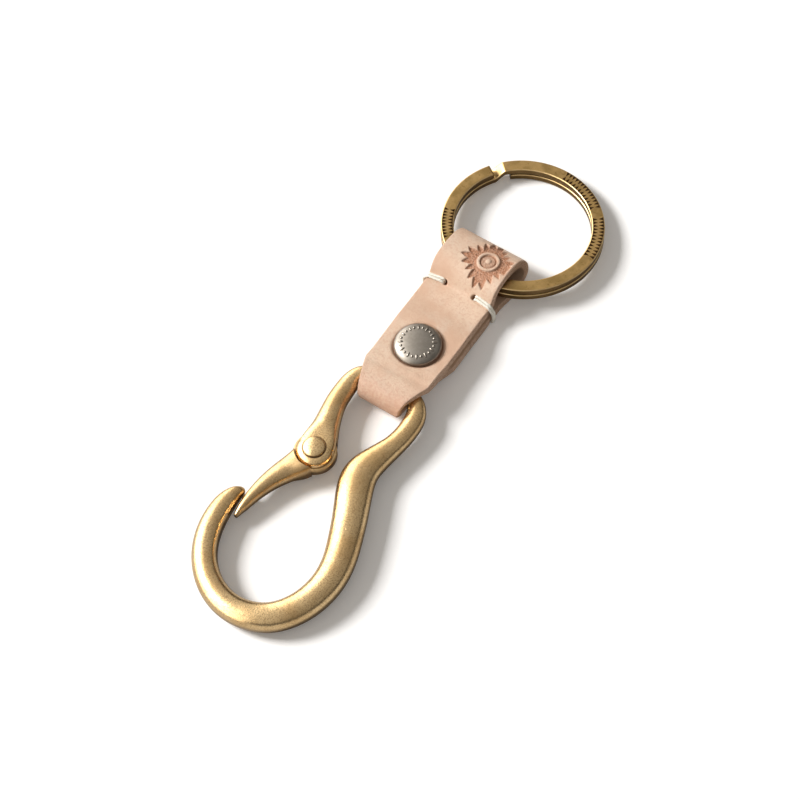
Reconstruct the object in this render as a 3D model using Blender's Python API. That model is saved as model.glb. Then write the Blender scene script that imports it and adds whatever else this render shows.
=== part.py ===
# Leather key tag: a folded veg-tan strap with a snap and two stitches, a solid
# brass hook with a sprung gate, and a flat two-turn split ring. The tag lies flat
# with its snap up. Design sizes are in millimetres, in a frame whose origin is near
# the snap's centre, with +Y along the strap towards the ring. Every shape is drawn
# in that frame, and add_object then hangs it on its joint's axis.

import math

import bmesh
import bpy
from mathutils import Matrix, Vector

MM = 0.001
SNAP_AT = (-2.40, 9.55)        # where the design origin stands in the model's frame

# Leather
LEATHER = 2.6                  # full thickness
LOOP_LEATHER = 2.2             # round the ring, where it is drawn thinner
FOLD_LEATHER = 1.7             # skived where it wraps the hook's bail
LAYER_GAP = 0.25
TOP_HALF_WIDTH = 8.8
LOW_HALF_WIDTH = 9.3
NECK_HALF_WIDTH = 5.45         # where the strap narrows, at the front of the fold
NECK_END_Y = -17.8
TAPER_TOP_Y = -9.2
TAPER_LOW_Y = 0.4
BUTT_Y = 7.6                   # the two ends of the strip meet here, underneath
PIECE_GAP = 0.3
EDGE_ROUND = 0.45

# The hook's bail holds the strap up, from the fold to past the snap
LIFT = 1.5
LIFT_FROM, LIFT_TO = 13.0, 4.0
LEAN = 0.45                    # to the right, where it is lifted

# Fold round the bail: its top follows the hook's swing axis, its front hangs slack
BAIL_Y = -11.6
BAIL_Z = 4.25
FOLD_INNER_R = 2.2
FOLD_R = FOLD_INNER_R + FOLD_LEATHER / 2
FOLD_FRONT_Y = -13.9
FOLD_SLOPE = 20.0              # degrees below level where the leather leaves the fold
FLAP_HINGE_Y = -10.9
FLAP_HINGE_Z = BAIL_Z - FOLD_R - FOLD_LEATHER / 2

# Loop round the split ring: the mid line of the leather as (y, z), from the stitch
# over the ring and back to the lower layer
LOOP_LINE = [
    (16.0, 4.15), (17.2, 4.2), (18.2, 4.55), (19.1, 5.6), (19.9, 6.9), (20.8, 8.0),
    (22.2, 8.65), (24.2, 8.8), (26.4, 8.6), (28.6, 8.1), (30.6, 7.1), (31.9, 5.7),
    (32.3, 4.2), (31.8, 2.7), (30.4, 1.65), (28.4, 1.22), (26.0, 1.14), (23.0, 1.23),
    (20.3, 1.3),
]
LOOP_TOP_Y = 20.0              # the loop is a piece of its own from here on
LOOP_DRIFT = 0.7               # the return comes back a little to the right

# Split ring
RING_OUTER_R = 19.75
RING_BAND = 3.1
COIL = 1.6
COIL_GAP = 0.42
RING_CENTRE = (2.7, 41.3)
RING_TILT = 5.0                # degrees: the near side leans on the lower leather
RING_AXIS_AT = (0.0, 24.9, 4.95)
CRANK_ANGLE = 145.5
CRANK_SPAN = 8.5

# Hook: x, y, width in plan and thickness along its centre line, nose first
HOOK_BOW = [
    (-13.75, -52.4, 2.0, 3.4), (-14.35, -53.7, 3.4, 4.3), (-14.9, -56.0, 4.6, 5.2),
    (-15.0, -59.2, 5.4, 5.8), (-14.2, -64.2, 5.8, 6.1), (-11.8, -69.6, 5.9, 6.2),
    (-7.6, -74.1, 6.0, 6.3), (-2.2, -76.8, 6.2, 6.4), (3.8, -77.2, 6.4, 6.6),
    (10.0, -74.7, 6.8, 6.8), (14.3, -69.1, 7.0, 6.9), (16.1, -62.2, 7.3, 7.0),
    (15.5, -55.7, 7.6, 7.0), (13.3, -49.6, 7.9, 7.0), (10.9, -43.9, 8.2, 7.0),
    (8.2, -38.7, 8.6, 6.9), (6.85, -34.4, 8.4, 6.6), (7.8, -30.2, 6.8, 6.0),
    (9.2, -25.8, 5.4, 5.3), (10.0, -21.8, 5.0, 4.9), (10.1, -18.2, 5.0, 4.7),
    (9.6, -15.3, 4.8, 4.4), (7.9, -12.8, 4.2, 4.1), (5.3, -11.7, 3.9, 3.85),
    (2.6, -11.6, 3.8, 3.8), (0.0, -11.6, 3.8, 3.8), (-2.6, -11.6, 3.8, 3.8),
    (-5.0, -11.7, 3.9, 3.85), (-7.35, -12.8, 4.1, 4.1), (-8.3, -15.3, 4.6, 4.4),
    (-8.4, -18.4, 4.9, 4.9), (-8.2, -22.2, 5.1, 5.2), (-7.2, -26.4, 5.7, 5.8),
    (-6.0, -30.6, 7.2, 6.1), (-5.2, -33.8, 7.4, 5.7),
]
HOOK_FLOOR_Y = -77.2
HOOK_FLOOR_Z = 3.35
SECTION_POWER = 2.25

# Pivot of the gate
PIVOT = (-4.75, -35.6)
EYE_R = 4.5
EYE_THICK = 6.2
TONGUE_R = 5.1
TONGUE_THICK = 2.3
SLOT = 2.7
SLOT_R = 5.45
SHOULDER_GAP = 0.35
PIN_R = 1.5
PIN_CLEAR = 0.12
RIVET_HEAD_R = 2.65
RIVET_HEAD = 0.65
RIVET_GAP = 0.1
GATE_LINE = [
    (-4.75, -35.6, 6.6, 6.0), (-6.0, -39.2, 6.9, 6.1), (-8.0, -43.0, 5.7, 5.3),
    (-9.6, -47.1, 4.5, 4.6), (-10.6, -51.4, 3.4, 3.9), (-11.05, -55.4, 2.3, 3.0),
    (-11.1, -58.2, 1.0, 1.7),
]
SPRING_R = 2.4
SPRING_WIRE = 0.32
SPRING_TURNS = 1.6
SPRING_PITCH = 0.76
SPRING_POCKET_R = 2.85
SPRING_POCKET = 1.55

# Snap: cap and socket on the top layer, stud and post on the flap
SNAP = (0.53, -0.64)
CAP_R = 5.75
CAP_SHANK_R = 1.45
SOCKET_R = 4.2
SOCKET_DEEP = 1.65
STUD_R = 3.4
STUD_DEEP = 0.6
BALL_R = 2.2
POST_R = 4.2
POST_DEEP = 0.75
POST_SHANK_R = 1.35

# Stitches
STITCH_X = 4.5
STITCH_Y = 17.5
THREAD = 0.58
THREAD_PITCH = 1.02
HOLE_R = 0.95


def clear_scene():
    for item in list(bpy.data.objects):
        bpy.data.objects.remove(item, do_unlink=True)


# Colour, roughness and metallic value of each kind of material
LOOKS = {
    "leather": ((0.84, 0.58, 0.44), 0.6, 0.0),
    "thread": ((0.80, 0.77, 0.68), 0.6, 0.0),
    "brass": ((0.66, 0.48, 0.22), 0.35, 1.0),
    "antique_brass": ((0.42, 0.30, 0.13), 0.4, 1.0),
    "gunmetal": ((0.25, 0.24, 0.22), 0.35, 1.0),
    "steel": ((0.5, 0.5, 0.5), 0.35, 1.0),
}


def material(name, look):
    colour, roughness, metallic = LOOKS[look]
    mat = bpy.data.materials.new(name + "_" + look)
    mat.use_nodes = True
    shader = mat.node_tree.nodes["Principled BSDF"]
    shader.inputs["Base Color"].default_value = (*colour, 1.0)
    shader.inputs["Roughness"].default_value = roughness
    shader.inputs["Metallic"].default_value = metallic
    return mat


# Where an empty stands in the design frame
def place_of(item):
    return item.matrix_world.translation / MM - Vector((SNAP_AT[0], SNAP_AT[1], 0))


def empty(name, place, parent=None):
    item = bpy.data.objects.new(name, None)
    item.parent = parent
    offset = Vector(place) - place_of(parent) if parent else Vector(place)
    item.location = offset * MM
    bpy.context.collection.objects.link(item)
    bpy.context.view_layer.update()
    return item


def add_object(name, bm, parent, look=None, sharp_degrees=40.0):
    """Makes an object from a bmesh in the design frame, hung on its parent empty."""
    bmesh.ops.translate(bm, vec=-place_of(parent), verts=bm.verts)
    bmesh.ops.scale(bm, vec=(MM, MM, MM), verts=bm.verts)
    bmesh.ops.recalc_face_normals(bm, faces=bm.faces)
    mesh = bpy.data.meshes.new(name)
    bm.to_mesh(mesh)
    bm.free()
    mesh.shade_smooth()
    mesh.set_sharp_from_angle(angle=math.radians(sharp_degrees))
    item = bpy.data.objects.new(name, mesh)
    item.parent = parent
    if look:
        mesh.materials.append(material(name, look))
    bpy.context.collection.objects.link(item)
    return item


def cutter(name, bm, parent):
    item = add_object(name, bm, parent)
    item.hide_render = True
    item.display_type = "WIRE"
    return item


def boolean(item, other, operation):
    mod = item.modifiers.new(other.name, "BOOLEAN")
    mod.operation = operation
    mod.solver = "EXACT"
    mod.object = other
    return mod


# A skin over rings of points, with a flat cap at each end
def skin(rings):
    bm = bmesh.new()
    loops = [[bm.verts.new(p) for p in ring] for ring in rings]
    count = len(loops[0])
    for near, far in zip(loops, loops[1:]):
        for i in range(count):
            j = (i + 1) % count
            bm.faces.new((near[i], near[j], far[j], far[i]))
    bm.faces.new(loops[0][::-1])
    bm.faces.new(loops[-1])
    return bm


# A smooth curve through the given rows: a Catmull-Rom spline, even in each span
def smooth_rows(rows, steps):
    rows = [tuple(row) for row in rows]
    first = tuple(2 * a - b for a, b in zip(rows[0], rows[1]))
    last = tuple(2 * a - b for a, b in zip(rows[-1], rows[-2]))
    padded = [first] + rows + [last]
    result = []
    for k in range(1, len(padded) - 2):
        p0, p1, p2, p3 = padded[k - 1:k + 3]
        for s in range(steps):
            t = s / steps
            result.append(tuple(
                0.5 * (2 * b + (c - a) * t + (2 * a - 5 * b + 4 * c - d) * t * t
                       + (3 * b - a - 3 * c + d) * t ** 3)
                for a, b, c, d in zip(p0, p1, p2, p3)))
    result.append(rows[-1])
    return result


def superellipse(half_wide, half_high, count, power):
    points = []
    for i in range(count):
        a = 2 * math.pi * (i + 0.5) / count
        c, s = math.cos(a), math.sin(a)
        u = math.copysign(abs(c) ** (2 / power), c) * half_wide
        v = math.copysign(abs(s) ** (2 / power), s) * half_high
        points.append((u, v))
    return points


# A strip's section: a flat rectangle with its four long edges rounded off
def strip_section(half_wide, half_high, edge):
    w, h, e = half_wide, half_high, edge
    k = 0.3 * e
    corner = [(w, h - e), (w - k, h - k), (w - e, h)]
    right_top = corner
    left_top = [(-u, v) for u, v in reversed(corner)]
    left_low = [(-u, -v) for u, v in corner]
    right_low = [(u, -v) for u, v in reversed(corner)]
    return right_top + left_top + left_low + right_low


def turned(profile, segments, centre=(0, 0, 0)):
    """Turns a closed (radius, height) profile round the Z axis at centre."""
    bm = bmesh.new()
    rows = []
    for i in range(segments):
        a = 2 * math.pi * i / segments
        rows.append([bm.verts.new((centre[0] + r * math.cos(a), centre[1] + r * math.sin(a),
                                   centre[2] + z)) for r, z in profile])
    count = len(profile)
    for i in range(segments):
        near, far = rows[i], rows[(i + 1) % segments]
        for k in range(count):
            m = (k + 1) % count
            if profile[k][0] > 0 or profile[m][0] > 0:
                bm.faces.new((near[k], near[m], far[m], far[k]))
    bmesh.ops.remove_doubles(bm, verts=bm.verts, dist=0.0005)
    return bm


def cylinder(radius, low, high, centre, segments=48):
    bm = bmesh.new()
    made = bmesh.ops.create_cone(bm, cap_ends=True, segments=segments, radius1=radius,
                                 radius2=radius, depth=high - low)
    offset = Vector((centre[0], centre[1], (low + high) / 2))
    bmesh.ops.translate(bm, verts=made["verts"], vec=offset)
    return bm


def block(low, high):
    bm = bmesh.new()
    made = bmesh.ops.create_cube(bm, size=1.0)
    size = Vector(high) - Vector(low)
    middle = (Vector(high) + Vector(low)) / 2
    bmesh.ops.scale(bm, verts=made["verts"], vec=size)
    bmesh.ops.translate(bm, verts=made["verts"], vec=middle)
    return bm


def tube(path, radius, sides):
    """A round tube along a list of points, its ends square to the path."""
    points = [Vector(p) for p in path]
    rings = []
    side = None
    for i, p in enumerate(points):
        ahead = points[min(i + 1, len(points) - 1)] - points[max(i - 1, 0)]
        ahead.normalize()
        if side is None:
            side = ahead.orthogonal().normalized()
        side = (side - ahead * side.dot(ahead)).normalized()
        up = ahead.cross(side)
        rings.append([p + (side * math.cos(a) + up * math.sin(a)) * radius
                      for a in (2 * math.pi * k / sides for k in range(sides))])
    return skin(rings)


def least_gap(path, thick):
    """Least clear gap between parts of a wound wire that lie apart along it."""
    points = [Vector(p) for p in path]
    along = [0.0]
    for before, after in zip(points, points[1:]):
        along.append(along[-1] + (after - before).length)
    return min((p - q).length for i, p in enumerate(points) for j, q in enumerate(points)
               if along[j] - along[i] > 6 * thick) - thick


def ease(x, x0, x1):
    t = min(max((x - x0) / (x1 - x0), 0.0), 1.0)
    return t * t * (3 - 2 * t)


# Leather strap
def strip(stations, half_width, drift=None):
    """Lofts leather along rows of (y, z of mid thickness, thickness)."""
    rings = []
    for i, (y, z, thick) in enumerate(stations):
        before = stations[max(i - 1, 0)]
        after = stations[min(i + 1, len(stations) - 1)]
        run = Vector((0, after[0] - before[0], after[1] - before[1])).normalized()
        out = Vector((0, -run.z, run.y))
        shift = drift(y, z) if drift else 0.0
        rings.append([Vector((u + shift, y, z)) + out * v
                      for u, v in strip_section(half_width(y, z), thick / 2, EDGE_ROUND)])
    return skin(rings)


def lift(y):
    return LIFT * ease(-y, -LIFT_FROM, -LIFT_TO)


def lean(y, z):
    return LEAN * max(ease(z, 1.5, 5.0), ease(y, FLAP_HINGE_Y, -6.0)) * lift(y) / LIFT


def strap_width(y, z):
    if y < FLAP_HINGE_Y and z < BAIL_Z:
        return NECK_HALF_WIDTH
    share = min(max((y - NECK_END_Y) / (TAPER_TOP_Y - NECK_END_Y), 0.0), 1.0)
    return NECK_HALF_WIDTH + (TOP_HALF_WIDTH - NECK_HALF_WIDTH) * share


def loop_width(y, z):
    return TOP_HALF_WIDTH + (LOW_HALF_WIDTH - TOP_HALF_WIDTH) * ease(-z, -8.0, -2.0)


def loop_drift(y, z):
    return LOOP_DRIFT * ease(-z, -8.0, -2.0) * ease(y, 20.0, 26.0)


def flap_width(y, z):
    share = min(max((y - FLAP_HINGE_Y) / (TAPER_LOW_Y - FLAP_HINGE_Y), 0.0), 1.0)
    return NECK_HALF_WIDTH + (LOW_HALF_WIDTH - NECK_HALF_WIDTH) * share


def low_width(y, z):
    return LOW_HALF_WIDTH


def strap_line():
    """Mid line from under the bail, over it and along the top to the ring's loop."""
    rows = [(FLAP_HINGE_Y - PIECE_GAP / 2, BAIL_Z - FOLD_R, FOLD_LEATHER)]
    for k in range(15):
        a = math.radians(270 - 180 * k / 14)
        rows.append((FOLD_FRONT_Y + FOLD_R * math.cos(a), BAIL_Z + FOLD_R * math.sin(a),
                     FOLD_LEATHER))
    for k in range(4):
        a = math.radians(90 - FOLD_SLOPE * k / 3)
        rows.append((BAIL_Y + FOLD_R * math.cos(a), BAIL_Z + FOLD_R * math.sin(a),
                     FOLD_LEATHER))
    mid_z = LEATHER * 1.5 + LAYER_GAP
    end_y, end_z = rows[-1][0], rows[-1][1]
    drop = math.tan(math.radians(FOLD_SLOPE))
    fall = [(end_y, end_z), (end_y + 1.2, end_z - 1.2 * drop), (-8.0, mid_z + LIFT + 0.53),
            (-7.0, mid_z + LIFT + 0.21), (-6.0, mid_z + LIFT + 0.03), (-5.0, mid_z + LIFT)]
    fall += [(y, mid_z + lift(y)) for y in (-1.5, 2.5, 4.0, 5.5, 7.0, 8.5, 10.0, 11.5, 13.0)]
    for y, z in smooth_rows(fall, 2)[1:]:
        rows.append((y, z, FOLD_LEATHER + (LEATHER - FOLD_LEATHER) * ease(y, -10.0, -5.0)))
    rise = [(y, z, LEATHER - (LEATHER - LOOP_LEATHER) * ease(y, 17.0, LOOP_TOP_Y))
            for y, z in smooth_rows(LOOP_LINE, 3) if z > BAIL_Z - 0.2]
    rows += [row for row in rise if row[0] < LOOP_TOP_Y - PIECE_GAP / 2]
    rows.append(row_at(rise, LOOP_TOP_Y - PIECE_GAP / 2))
    return rows


# The row at height y between its neighbours, on a line that climbs in y
def row_at(rows, y):
    near, far = next(pair for pair in zip(rows, rows[1:]) if pair[1][0] > y)
    share = (y - near[0]) / (far[0] - near[0])
    return tuple(a + (b - a) * share for a, b in zip(near, far))


def loop_line():
    """Mid line of the loop round the ring, ending in the lower layer."""
    line = smooth_rows(LOOP_LINE, 3)
    start = next(k for k, row in enumerate(line) if row[0] > LOOP_TOP_Y + PIECE_GAP / 2)
    rows = []
    for y, z in [row_at(line, LOOP_TOP_Y + PIECE_GAP / 2)] + line[start:]:
        thick = LOOP_LEATHER
        if z < 2.0:
            thick += (LEATHER - LOOP_LEATHER) * ease(-y, -26.0, -20.5)
        rows.append((y, max(z, thick / 2), thick))
    return rows


def build_strap(frame, flap_pivot):
    strap = add_object("strap", strip(strap_line(), strap_width, lean), frame, "leather", 30)
    add_object("strap_ring_loop", strip(loop_line(), loop_width, loop_drift), frame,
               "leather", 30)
    low = LEATHER / 2
    back_rows = [(y, low + lift(y), LEATHER) for y in (
        LOOP_LINE[-1][0] - PIECE_GAP, 13.0, 12.2, 11.4, 10.5, 9.6, 8.7, BUTT_Y + PIECE_GAP / 2)]
    back = add_object("strap_return", strip(back_rows, low_width, lean), frame, "leather", 30)
    flap_rows = []
    for y in (FLAP_HINGE_Y + PIECE_GAP / 2, -10.0, -9.0, -8.0, -7.0, -6.0, -5.0, -4.0,
              TAPER_LOW_Y, 4.0, 5.2, 6.4, BUTT_Y - PIECE_GAP / 2):
        rise = ease(y, FLAP_HINGE_Y, -4.0)
        start = BAIL_Z - FOLD_R
        flap_rows.append((y, start + (low + lift(y) - start) * rise,
                          FOLD_LEATHER + (LEATHER - FOLD_LEATHER) * rise))
    flap = add_object("strap_flap", strip(flap_rows, flap_width, lean), flap_pivot,
                      "leather", 30)
    return strap, back, flap


def punch(strap, back, flap, frame):
    """Stitch holes, thread grooves and the seats pressed in by the snap."""
    for side, sign in (("left", -1), ("right", 1)):
        hole = cutter("hole_" + side, cylinder(HOLE_R, -1, 12, (sign * STITCH_X, STITCH_Y), 20),
                      frame)
        boolean(strap, hole, "DIFFERENCE")
        boolean(back, hole, "DIFFERENCE")
        inner, outer = sign * STITCH_X, sign * (LOW_HALF_WIDTH + 1)
        groove = cutter("groove_" + side,
                        block((min(inner, outer), STITCH_Y - HOLE_R, -1.0),
                              (max(inner, outer), STITCH_Y + HOLE_R + 0.35, THREAD + 0.25)),
                        frame)
        boolean(back, groove, "DIFFERENCE")
    low = LIFT + LEATHER + LAYER_GAP
    top = LIFT + LEATHER
    seats = (("socket_seat", strap, SOCKET_R + 0.25, low - 1, low + SOCKET_DEEP),
             ("cap_bore", strap, CAP_SHANK_R + 0.2, low, low + 4),
             ("post_seat", flap, POST_R + 0.25, LIFT - 1, LIFT + POST_DEEP),
             ("stud_seat", flap, STUD_R + 0.25, top - STUD_DEEP, top + 1),
             ("post_bore", flap, POST_SHANK_R + 0.2, LIFT, top + 1))
    for name, piece, radius, bottom, roof in seats:
        seat = cutter(name, cylinder(radius, bottom, roof, SNAP), frame)
        boolean(piece, seat, "DIFFERENCE")


# Stitches: two turns of thread through one hole and round the strap's edge
def stitch_path(sign):
    low = THREAD / 2 + 0.15
    out = LOW_HALF_WIDTH + THREAD / 2 + 0.25
    turn = [(STITCH_X, low + 1.0), (STITCH_X, 4.7), (STITCH_X + 0.1, None),
            (STITCH_X + 1.0, None), (6.6, None), (TOP_HALF_WIDTH - 0.3, None),
            (TOP_HALF_WIDTH + 0.55, 5.3), (out, 4.0), (out, 1.35), (LOW_HALF_WIDTH + 0.1, low),
            (8.0, low), (STITCH_X + 1.1, low), (STITCH_X + 0.15, low + 0.15)]
    count = len(turn)
    rows = []
    for k in range(2 * count - 2):
        x, z = turn[k % count]
        step = k // count + max(k % count - (count - 4), 0) / 4
        y = STITCH_Y + THREAD_PITCH * (step - 0.5)
        if z is None:
            z = top_of_strap(y + THREAD / 2) + THREAD / 2 + 0.15
        rows.append((sign * x, y, z))
    return smooth_rows(rows, 3)


def top_of_strap(y):
    """Height of the leather's top face at y, at the foot of the ring's loop."""
    rows = strap_line()
    faces = []
    for before, row, after in zip(rows, rows[1:], rows[2:]):
        run = Vector((after[0] - before[0], after[1] - before[1])).normalized()
        faces.append((row[0] - run.y * row[2] / 2, row[1] + run.x * row[2] / 2))
    faces = [face for face in faces if face[0] > 0]
    near, far = next(pair for pair in zip(faces, faces[1:]) if pair[1][0] > y)
    return near[1] + (far[1] - near[1]) * (y - near[0]) / (far[0] - near[0])


def build_stitches(frame):
    for side, sign in (("left", -1), ("right", 1)):
        path = stitch_path(sign)
        print(side, "stitch, least gap to itself:", round(least_gap(path, THREAD), 2), "mm")
        add_object("stitch_" + side, tube(path, THREAD / 2, 6), frame, "thread", 60)


# Snap, from the cap down to the post under the flap
def build_snap(frame, flap_pivot):
    low = LIFT + LEATHER + LAYER_GAP
    middle = (SNAP[0], SNAP[1], 0)
    face = low + LEATHER + 0.15
    ceiling = low + 1.3
    cap = [(0, face + 1.75), (1.6, face + 1.7), (3.2, face + 1.52), (4.5, face + 1.25),
           (5.2, face + 0.98), (5.6, face + 0.7), (CAP_R, face + 0.42), (5.65, face + 0.14),
           (5.3, face), (4.7, face), (4.5, face + 0.25), (CAP_SHANK_R, face + 0.25),
           (CAP_SHANK_R, ceiling - 0.05), (1.9, ceiling - 0.1), (1.85, ceiling - 0.3),
           (0.95, ceiling - 0.3), (0.95, face + 0.6), (0, face + 0.6)]
    add_object("snap_cap", turned(cap, 40, middle), frame, "gunmetal", 35)
    socket = [(CAP_SHANK_R + 0.15, ceiling + 0.05), (CAP_SHANK_R + 0.15, ceiling + 0.25),
              (3.9, ceiling + 0.25), (SOCKET_R, ceiling), (SOCKET_R, low + 0.1),
              (BALL_R + 0.35, low + 0.1), (BALL_R + 0.35, low + 0.28), (3.35, low + 0.28),
              (3.35, low + 0.88), (BALL_R + 0.35, low + 0.88), (BALL_R + 0.35, ceiling + 0.05)]
    add_object("snap_socket", turned(socket, 32, middle), frame, "steel", 35)
    ring = [(SNAP[0] + 2.85 * math.cos(a), SNAP[1] + 2.85 * math.sin(a), low + 0.58)
            for a in (math.radians(25 + 310 * k / 28) for k in range(29))]
    add_object("snap_spring", tube(ring, 0.2, 6), frame, "steel", 60)
    base = LIFT + LEATHER - STUD_DEEP + 0.1
    stud = [(POST_SHANK_R + 0.15, base), (STUD_R, base), (STUD_R, base + 0.35),
            (BALL_R - 0.15, base + 0.4), (BALL_R - 0.15, base + 0.8), (BALL_R, base + 1.15),
            (BALL_R - 0.15, base + 1.5), (1.75, base + 1.6), (POST_SHANK_R + 0.15, base + 1.6)]
    add_object("snap_stud", turned(stud, 32, middle), flap_pivot, "steel", 35)
    post = [(0, LIFT + 0.02), (3.9, LIFT + 0.02), (POST_R, LIFT + 0.2), (POST_R, LIFT + 0.4),
            (3.9, LIFT + 0.6), (POST_SHANK_R, LIFT + 0.6), (POST_SHANK_R, base + 1.35),
            (0.85, base + 1.35), (0.85, LIFT + 0.75), (0, LIFT + 0.75)]
    add_object("snap_post", turned(post, 32, middle), flap_pivot, "gunmetal", 35)


# Split ring: one flat wire wound twice, with a crank where it climbs
def build_ring(pivot):
    radius = RING_OUTER_R - RING_BAND / 2
    step = COIL + COIL_GAP
    turn = Matrix.Rotation(-math.radians(RING_TILT), 3, "X")
    rest = Vector((RING_CENTRE[0], RING_CENTRE[1] + RING_OUTER_R, 0.0))
    low_start = CRANK_SPAN + 4.5
    high_end = 720.0 - 1.6
    angles = []
    a = low_start
    while a < high_end - 0.01:
        angles.append(a)
        a += 2.6 if 360 - 2.6 < a < 360 + CRANK_SPAN else 6.0
    angles.append(high_end)
    rings = []
    for a in angles:
        climb = ease(a, 360.0, 360.0 + CRANK_SPAN)
        turn_angle = math.radians(CRANK_ANGLE - a)
        out = Vector((math.cos(turn_angle), math.sin(turn_angle), 0))
        ring = []
        for u, v in strip_section(RING_BAND / 2, COIL / 2, 0.25):
            p = out * (radius + u) + Vector((0, 0, COIL / 2 + step * climb + v))
            p = turn @ (p + Vector((0, -RING_OUTER_R, 0)))
            ring.append(p + rest)
        rings.append(ring)
    middles = [sum(ring, Vector()) / len(ring) for ring in rings]
    print("split ring, least gap to itself:", round(least_gap(middles, COIL), 2), "mm")
    add_object("split_ring", skin(rings), pivot, "antique_brass", 35)


# Hook
def hook_height(y):
    slope = (BAIL_Z - HOOK_FLOOR_Z) / (BAIL_Y - HOOK_FLOOR_Y)
    return HOOK_FLOOR_Z + (y - HOOK_FLOOR_Y) * slope


def bar(line, steps, sides):
    """Lofts an oval bar along rows of (x, y, width, thickness)."""
    rows = smooth_rows(line, steps)
    rings = []
    for i, (x, y, wide, thick) in enumerate(rows):
        before = rows[max(i - 1, 0)]
        after = rows[min(i + 1, len(rows) - 1)]
        run = Vector((after[0] - before[0], after[1] - before[1], 0)).normalized()
        out = Vector((-run.y, run.x, 0))
        centre = Vector((x, y, hook_height(y)))
        rings.append([centre + out * u + Vector((0, 0, v))
                      for u, v in superellipse(wide / 2, thick / 2, sides, SECTION_POWER)])
    return skin(rings)


def pill(radius, thick, middle, rounding, segments=40):
    """A disc with rounded rims, as the hook's cheeks and the gate's tongue."""
    h, e = thick / 2, rounding
    k = 0.3 * e
    profile = [(0, -h), (radius - e, -h), (radius - k, -h + k), (radius, -h + e),
               (radius, h - e), (radius - k, h - k), (radius - e, h), (0, h)]
    return turned([(r, z + middle[2]) for r, z in profile], segments, (middle[0], middle[1], 0))


def build_hook(pivot, centre):
    body = add_object("hook_body", bar(HOOK_BOW, 2, 20), pivot, "brass", 50)
    eye = cutter("eye_form", pill(EYE_R, EYE_THICK, centre, 1.1), pivot)
    boolean(body, eye, "UNION")
    half = SLOT / 2
    slot = cutter("slot_form", cylinder(SLOT_R, centre.z - half, centre.z + half, centre),
                  pivot)
    boolean(body, slot, "DIFFERENCE")
    bore = cutter("pin_form", cylinder(PIN_R + PIN_CLEAR, centre.z - 9, centre.z + 9, centre, 32),
                  pivot)
    boolean(body, bore, "DIFFERENCE")


def build_gate(gate_pivot, centre):
    gate = add_object("gate", bar(GATE_LINE, 3, 16), gate_pivot, "brass", 50)
    half = TONGUE_THICK / 2
    z = centre.z
    reach = EYE_R + SHOULDER_GAP
    for name, low, high in (("shoulder_top", half, 9), ("shoulder_low", -9, -half)):
        round_cut = cutter(name, cylinder(reach, z + low, z + high, centre, 48), gate_pivot)
        boolean(gate, round_cut, "DIFFERENCE")
    tongue = cutter("tongue_form", pill(TONGUE_R, TONGUE_THICK, centre, 0.3), gate_pivot)
    boolean(gate, tongue, "UNION")
    bore = cutter("gate_bore", cylinder(PIN_R + PIN_CLEAR, z - 9, z + 9, centre, 32),
                  gate_pivot)
    boolean(gate, bore, "DIFFERENCE")
    floor = z + half - SPRING_POCKET
    pocket = cutter("spring_pocket", cylinder(SPRING_POCKET_R, floor, z + 9, centre, 32),
                    gate_pivot)
    boolean(gate, pocket, "DIFFERENCE")


def build_rivet(gate_pivot, centre):
    top = EYE_THICK / 2 + RIVET_GAP
    profile = [(0, top + RIVET_HEAD)]
    for k in range(1, 6):
        a = math.radians(90 - 15 * k)
        profile.append((RIVET_HEAD_R * math.cos(a), top + 0.1 + (RIVET_HEAD - 0.1) * math.sin(a)))
    profile += [(RIVET_HEAD_R, top), (PIN_R, top)]
    mirrored = [(r, -z) for r, z in reversed(profile)]
    add_object("gate_rivet", turned(profile + mirrored, 32, centre), gate_pivot, "brass", 50)


def build_spring(gate_pivot, centre):
    floor = centre.z + TONGUE_THICK / 2 - SPRING_POCKET + SPRING_WIRE / 2 + 0.1
    steps = round(SPRING_TURNS * 20)
    path = []
    for k in range(steps + 1):
        a = 2 * math.pi * k / 20
        path.append((centre.x + SPRING_R * math.cos(a), centre.y + SPRING_R * math.sin(a),
                     floor + SPRING_PITCH * k / 20))
    print("gate spring, least gap to itself:", round(least_gap(path, SPRING_WIRE), 2), "mm")
    add_object("gate_spring", tube(path, SPRING_WIRE / 2, 6), gate_pivot, "steel", 60)


def build():
    clear_scene()
    frame = empty("tag_frame", (SNAP_AT[0], SNAP_AT[1], 0))
    flap_pivot = empty("flap_fold_axis", (0, FLAP_HINGE_Y, FLAP_HINGE_Z), frame)
    strap, back, flap = build_strap(frame, flap_pivot)
    punch(strap, back, flap, frame)
    build_stitches(frame)
    build_snap(frame, flap_pivot)

    hook_pivot = empty("hook_swing_axis", (0, BAIL_Y, BAIL_Z), frame)
    centre = Vector((PIVOT[0], PIVOT[1], hook_height(PIVOT[1])))
    gate_pivot = empty("gate_axis", centre, hook_pivot)
    build_hook(hook_pivot, centre)
    build_gate(gate_pivot, centre)
    build_rivet(gate_pivot, centre)
    build_spring(gate_pivot, centre)

    build_ring(empty("ring_swing_axis", RING_AXIS_AT, frame))


build()
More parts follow.
